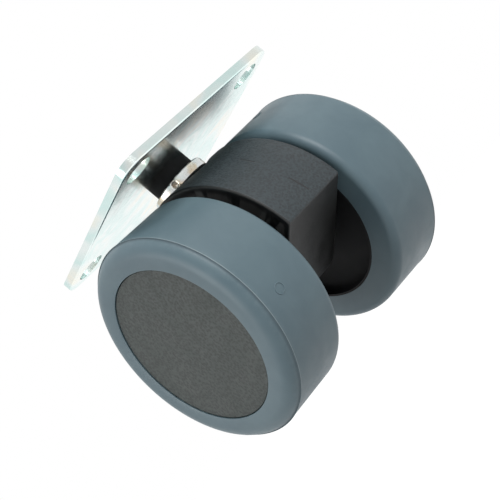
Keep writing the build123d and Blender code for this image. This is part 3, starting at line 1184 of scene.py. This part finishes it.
@dataclass
class WheelAssembly:
    """One wheel: moulded core, soft tyre and hub cap, in millimetres."""

    side: Side
    palette: Palette
    revolve: RevolveTree
    gate: GateMarkTree
    gate_angle: float
    gate_place: float = 22.5
    gate_radius: float = 1.15
    gate_bead: float = 0.13
    gate_sink: float = 0.09
    tyre_thickness: float = 4.4
    draft: float = 0.2
    inner_shoulder: float = 2.0
    outer_shoulder: float = 3.5
    shoulder_width: float = 2.5
    ledge: float = 0.15
    flash: float = 0.09
    flash_step: float = 0.02
    flash_sink: float = 0.01
    flash_turn: float = 4.0
    lip_thickness: float = 1.6
    lip_depth: float = 2.3
    rim_setback: float = 2.2
    rim_wall: float = 2.8
    lip_gap: float = 0.02
    hub_radius: float = 6.5
    hub_length: float = 14.0
    hub_edge: float = 0.4
    bore_radius: float = 3.05
    web_recess: float = 2.8
    web_thickness: float = 2.2
    web_blend: float = 1.6
    lip_clearance: float = 0.1
    cap_thickness: float = 1.9
    cap_edge: float = 0.25
    skirt_wall: float = 1.2
    skirt_length: float = 2.6
    low: Vector = field(init=False)
    high: Vector = field(init=False)

    def __post_init__(self) -> None:
        """Read the wheel's place from the frame."""
        self.low, self.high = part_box(f"tyre_{self.side.word}")

    @property
    def axle(self) -> float:
        """Height of the axle."""
        return (self.low.z + self.high.z) / 2

    @property
    def radius(self) -> float:
        """Radius of the tread."""
        return (self.high.z - self.low.z) / 2

    def along(self, place: float) -> float:
        """Turn a distance from the middle plane into a place along the axle."""
        return place * self.side.value

    def build(self) -> None:
        """Build the wheel's core, tyre, cap and gate mark."""
        word = self.side.word
        self.core()
        self.tyre()
        self.cap()
        self.gate_mark()

    def core(self) -> bpy.types.Object:
        """Revolve the smooth wheel body: a hub and a rim joined by a dished web.

        Returns:
            The wheel body.
        """
        low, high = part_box(f"wheel_core_{self.side.word}")
        inner, end = min(abs(low.y), abs(high.y)), max(abs(low.y), abs(high.y))
        face = min(abs(self.low.y), abs(self.high.y))
        rim = (high.z - low.z) / 2
        bore = rim - self.rim_wall * MM
        hub = self.hub_radius * MM
        web = face + self.web_recess * MM
        lip_seat = face + self.lip_thickness * MM
        lip = rim - self.lip_depth * MM - self.lip_gap * MM
        blend = self.web_blend * MM
        back = web + self.web_thickness * MM
        outline: Outline = [(self.bore_radius * MM, inner)]
        edge = self.hub_edge * MM
        outline += arc((hub - edge, inner + edge), edge, 270, 360, 5)
        outline += arc((hub + blend, web - blend), blend, 180, 90, 6)
        outline += arc((bore - blend, web - blend), blend, 90, 0, 6)
        outline += [(bore, face), (lip, face), (lip, lip_seat), (rim, lip_seat), (rim, end), (bore, end)]
        outline += [(bore, back), (hub, back), (hub, inner + self.hub_length * MM)]
        outline += [(self.bore_radius * MM, inner + self.hub_length * MM)]
        section = [(r, self.along(y)) for r, y in outline]
        piece = self.revolve.turn(f"core_{self.side.word}", section, self.axle, self.palette.plain, 192)
        close_shell(piece.data, 32.0)
        return seat(piece, self.side.body, Slot.NYLON, f"wheel_core_{self.side.word}")

    def tyre(self) -> bpy.types.Object:
        """Revolve the tyre's section.

        Returns:
            The tyre.
        """
        inner = min(abs(self.low.y), abs(self.high.y))
        outer = max(abs(self.low.y), abs(self.high.y))
        tread = self.radius
        inner_tread = tread - self.draft * MM
        ledge = tread - self.ledge * MM
        rim = tread - self.tyre_thickness * MM
        lip = rim - self.lip_depth * MM
        cap_low, cap_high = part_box(f"hub_cap_{self.side.word}")
        cap_lip = (cap_high.z - cap_low.z) / 2 + self.lip_clearance * MM
        inner_round, outer_round = self.inner_shoulder * MM, self.outer_shoulder * MM
        edge = outer - self.shoulder_width * MM
        turned = outer_round - self.shoulder_width * MM
        shoulder = (ledge - math.sqrt(outer_round ** 2 - turned ** 2), outer - outer_round)
        start = math.degrees(math.asin(turned / outer_round)) + self.flash_turn
        seat_depth = inner + self.lip_thickness * MM
        outline: Outline = [(lip, inner)]
        outline += arc((inner_tread - inner_round, inner + inner_round), inner_round, 270, 360)
        outline += [(tread, edge - self.flash_step * MM)]
        bead = (tread - self.flash_sink * MM, edge + self.flash * MM)
        outline += arc(bead, self.flash * MM, 90, -60, 5)
        outline += arc(shoulder, outer_round, start, 90, 14)
        outline += [
            (cap_lip + self.cap_edge * MM, outer),
            (cap_lip, outer - self.cap_edge * MM / 2),
            (cap_lip, outer - self.rim_setback * MM),
            (rim, outer - self.rim_setback * MM),
            (rim, seat_depth),
            (lip, seat_depth),
        ]
        section = [(r, self.along(y)) for r, y in outline]
        piece = self.revolve.turn(f"tread_{self.side.word}", section, self.axle, self.palette.tyre, 288)
        close_shell(piece.data, 32.0)
        return seat(piece, self.side.body, Slot.TYRE, f"tyre_{self.side.word}")

    def cap(self) -> bpy.types.Object:
        """Revolve the hub cap's section.

        Returns:
            The hub cap.
        """
        low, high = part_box(f"hub_cap_{self.side.word}")
        face = max(abs(low.y), abs(high.y))
        back = face - self.cap_thickness * MM
        edge = (high.z - low.z) / 2
        core_low, core_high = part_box(f"wheel_core_{self.side.word}")
        skirt = (core_high.z - core_low.z) / 2 - (self.rim_wall + self.lip_clearance) * MM
        round_off = self.cap_edge * MM
        outline: Outline = [(0.0, back), (skirt - self.skirt_wall * MM, back)]
        outline += [(skirt - self.skirt_wall * MM, back - self.skirt_length * MM)]
        outline += [(skirt, back - self.skirt_length * MM), (skirt, back), (edge, back)]
        outline += arc((edge - round_off, face - round_off), round_off, 0, 90, 6)
        outline += [(0.0, face)]
        section = [(r, self.along(y)) for r, y in outline]
        piece = self.revolve.turn(f"cap_{self.side.word}", section, self.axle, self.palette.cap, 224)
        close_shell(piece.data, 40.0)
        return seat(piece, self.side.body, Slot.NYLON, f"hub_cap_{self.side.word}")

    def gate_mark(self) -> bpy.types.Object:
        """Lay the gate's ring on the tread.

        Returns:
            The ring.
        """
        values = {
            "Mark radius": self.gate_radius * MM,
            "Bead radius": self.gate_bead * MM,
            "Tread radius": self.radius - self.gate_sink * MM,
            "Angle": math.radians(self.gate_angle),
            "Place along axle": self.along(self.gate_place * MM),
            "Axle height": self.axle,
            "Finish": self.palette.tyre,
        }
        piece = self.gate.run(f"gate_mark_{self.side.word}", bpy.data.meshes.new("mark_start"), values)
        close_shell(piece.data, 60.0)
        return seat(piece, self.side.body, Slot.TYRE)


# ------------------------------------------------------------------ studio
@dataclass(frozen=True)
class Viewpoint:
    """Where the camera stands, as angles round the castor's middle."""

    azimuth: float = 52.14
    elevation: float = -4.95
    roll: float = -49.92
    distance: float = 281.7
    lens: float = 94.0
    aim: tuple[float, float, float] = (-0.6, -1.0, 1.6)


@dataclass(frozen=True)
class Lamp:
    """A soft box: its place round the castor, size and power."""

    name: str
    direction: tuple[float, float, float]
    distance: float
    size: float
    power: float
    tint: Colour = (255, 255, 255)


@dataclass(frozen=True)
class Falloff:
    """Strength of the surroundings on their bright and dark sides, and where it changes."""

    bright: float
    dark: float
    start: float
    end: float


@dataclass
class Studio:
    """Pale floor, surroundings that darken towards one side, soft boxes and the camera."""

    view: Viewpoint = field(default_factory=Viewpoint)
    floor_drop: float = 9.5
    floor_half: float = 3000.0
    paper_tone: float = 0.42
    shown_tone: float = 0.45
    glow: float = 0.84
    dark_side: tuple[float, float, float] = (0.7866, -0.6114, -0.0862)
    ambient: Falloff = Falloff(0.70, 0.08, -0.7, 0.8)
    mirrored: Falloff = Falloff(1.0, 0.80, -0.15, 0.45)
    lamps: tuple[Lamp, ...] = (
        Lamp("soft_box_front", (0.80, -0.04, 0.60), 600.0, 340.0, 2.9),
        Lamp("soft_box_side", (-0.30, -0.95, 0.15), 650.0, 420.0, 1.95),
    )

    def build(self) -> None:
        """Set up the floor, the surroundings, the lamps and the camera."""
        low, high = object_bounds()
        middle = (low + high) / 2
        self.floor(low.z - self.floor_drop * MM)
        self.surroundings()
        for lamp in self.lamps:
            self.light(lamp, middle)
        self.camera(middle)
        bpy.context.scene.view_settings.view_transform = "Standard"

    def floor(self, level: float) -> None:
        """Lay a pale floor that looks white where nothing shades it.

        Args:
            level: Height of the floor, in metres.
        """
        half = self.floor_half * MM
        mesh = bpy.data.meshes.new("studio_floor")
        corners = [(-half, -half, level), (half, -half, level), (half, half, level), (-half, half, level)]
        mesh.from_pydata(corners, [], [(0, 1, 2, 3)])
        material = bpy.data.materials.new("floor_pale")
        material.use_nodes = True
        nodes, links = material.node_tree.nodes, material.node_tree.links
        nodes.clear()
        output = nodes.new("ShaderNodeOutputMaterial")
        paper = nodes.new("ShaderNodeBsdfDiffuse")
        paper.inputs["Color"].default_value = (self.paper_tone,) * 3 + (1.0,)
        shown_paper = nodes.new("ShaderNodeBsdfDiffuse")
        shown_paper.inputs["Color"].default_value = (self.shown_tone,) * 3 + (1.0,)
        glow = nodes.new("ShaderNodeEmission")
        glow.inputs["Strength"].default_value = self.glow
        seen = nodes.new("ShaderNodeAddShader")
        choice = nodes.new("ShaderNodeMixShader")
        path = nodes.new("ShaderNodeLightPath")
        either = nodes.new("ShaderNodeMath")
        either.operation = "MAXIMUM"
        links.new(path.outputs["Is Camera Ray"], either.inputs[0])
        links.new(path.outputs["Is Glossy Ray"], either.inputs[1])
        links.new(shown_paper.outputs[0], seen.inputs[0])
        links.new(glow.outputs[0], seen.inputs[1])
        links.new(either.outputs[0], choice.inputs["Fac"])
        links.new(paper.outputs[0], choice.inputs[1])
        links.new(seen.outputs[0], choice.inputs[2])
        links.new(choice.outputs[0], output.inputs["Surface"])
        mesh.materials.append(material)
        floor = bpy.data.objects.new("studio_floor", mesh)
        bpy.context.scene.collection.objects.link(floor)
        floor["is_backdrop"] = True

    def surroundings(self) -> None:
        """Surround the castor with a pale light that darkens to one side and shows as white."""
        world = bpy.data.worlds.new("studio")
        world.use_nodes = True
        bpy.context.scene.world = world
        nodes, links = world.node_tree.nodes, world.node_tree.links
        nodes.clear()
        output = nodes.new("ShaderNodeOutputWorld")
        around = nodes.new("ShaderNodeTexCoord")
        towards = nodes.new("ShaderNodeVectorMath")
        towards.operation = "DOT_PRODUCT"
        towards.inputs[1].default_value = self.dark_side
        links.new(around.outputs["Generated"], towards.inputs[0])
        lights = []
        for falloff in (self.ambient, self.mirrored):
            level = nodes.new("ShaderNodeMapRange")
            level.interpolation_type = "SMOOTHSTEP"
            level.inputs["From Min"].default_value = falloff.start
            level.inputs["From Max"].default_value = falloff.end
            level.inputs["To Min"].default_value = falloff.bright
            level.inputs["To Max"].default_value = falloff.dark
            links.new(towards.outputs["Value"], level.inputs["Value"])
            light = nodes.new("ShaderNodeBackground")
            light.inputs["Color"].default_value = (1.0, 1.0, 1.0, 1.0)
            links.new(level.outputs["Result"], light.inputs["Strength"])
            lights.append(light)
        shown = nodes.new("ShaderNodeBackground")
        shown.inputs["Color"].default_value = (1.0, 1.0, 1.0, 1.0)
        path = nodes.new("ShaderNodeLightPath")
        either = nodes.new("ShaderNodeMath")
        either.operation = "MAXIMUM"
        links.new(path.outputs["Is Camera Ray"], either.inputs[0])
        links.new(path.outputs["Is Transmission Ray"], either.inputs[1])
        lit = nodes.new("ShaderNodeMixShader")
        links.new(path.outputs["Is Glossy Ray"], lit.inputs["Fac"])
        links.new(lights[0].outputs[0], lit.inputs[1])
        links.new(lights[1].outputs[0], lit.inputs[2])
        choice = nodes.new("ShaderNodeMixShader")
        links.new(either.outputs[0], choice.inputs["Fac"])
        links.new(lit.outputs[0], choice.inputs[1])
        links.new(shown.outputs[0], choice.inputs[2])
        links.new(choice.outputs[0], output.inputs["Surface"])

    def light(self, lamp: Lamp, middle: Vector) -> None:
        """Hang one soft box.

        Args:
            lamp: Its settings.
            middle: The point that it faces.
        """
        data = bpy.data.lights.new(lamp.name, "AREA")
        data.shape = "SQUARE"
        data.size = lamp.size * MM
        data.energy = lamp.power
        data.color = linear(lamp.tint)[:3]
        thing = bpy.data.objects.new(lamp.name, data)
        direction = Vector(lamp.direction).normalized()
        thing.location = middle + direction * lamp.distance * MM
        thing.rotation_euler = direction.to_track_quat("Z", "Y").to_euler()
        bpy.context.scene.collection.objects.link(thing)

    def camera(self, middle: Vector) -> None:
        """Place the camera.

        Args:
            middle: The castor's middle.
        """
        view = self.view
        turn, rise = math.radians(view.azimuth), math.radians(view.elevation)
        back = Vector((math.sin(turn) * math.cos(rise), -math.cos(turn) * math.cos(rise), math.sin(rise)))
        right = (-back).cross(Vector((0.0, 0.0, 1.0))).normalized()
        up = right.cross(-back)
        level = Matrix((right, up, back)).transposed()
        rolled = level @ Matrix.Rotation(math.radians(view.roll), 3, "Z")
        data = bpy.data.cameras.new("camera")
        data.lens = view.lens
        data.clip_start = 0.01
        data.clip_end = 20.0
        camera = bpy.data.objects.new("camera", data)
        camera.matrix_world = Matrix.Translation(
            middle + Vector(view.aim) * MM + back * view.distance * MM
        ) @ rolled.to_4x4()
        bpy.context.scene.collection.objects.link(camera)
        bpy.context.scene.camera = camera


def main() -> None:
    """Build the castor from the plate down, then the studio."""
    logging.basicConfig(level=logging.INFO, format="%(name)s: %(message)s")
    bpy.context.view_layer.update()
    palette = Palette.make()
    PlateAssembly(palette).build()
    SleeveAssembly(palette).build()
    ForkAssembly(palette).build()
    revolve, gate = RevolveTree(), GateMarkTree()
    WheelAssembly(Side.LEFT, palette, revolve, gate, gate_angle=19.0).build()
    WheelAssembly(Side.RIGHT, palette, revolve, gate, gate_angle=106.4).build()
    Studio().build()


if __name__ == "__main__":
    main()
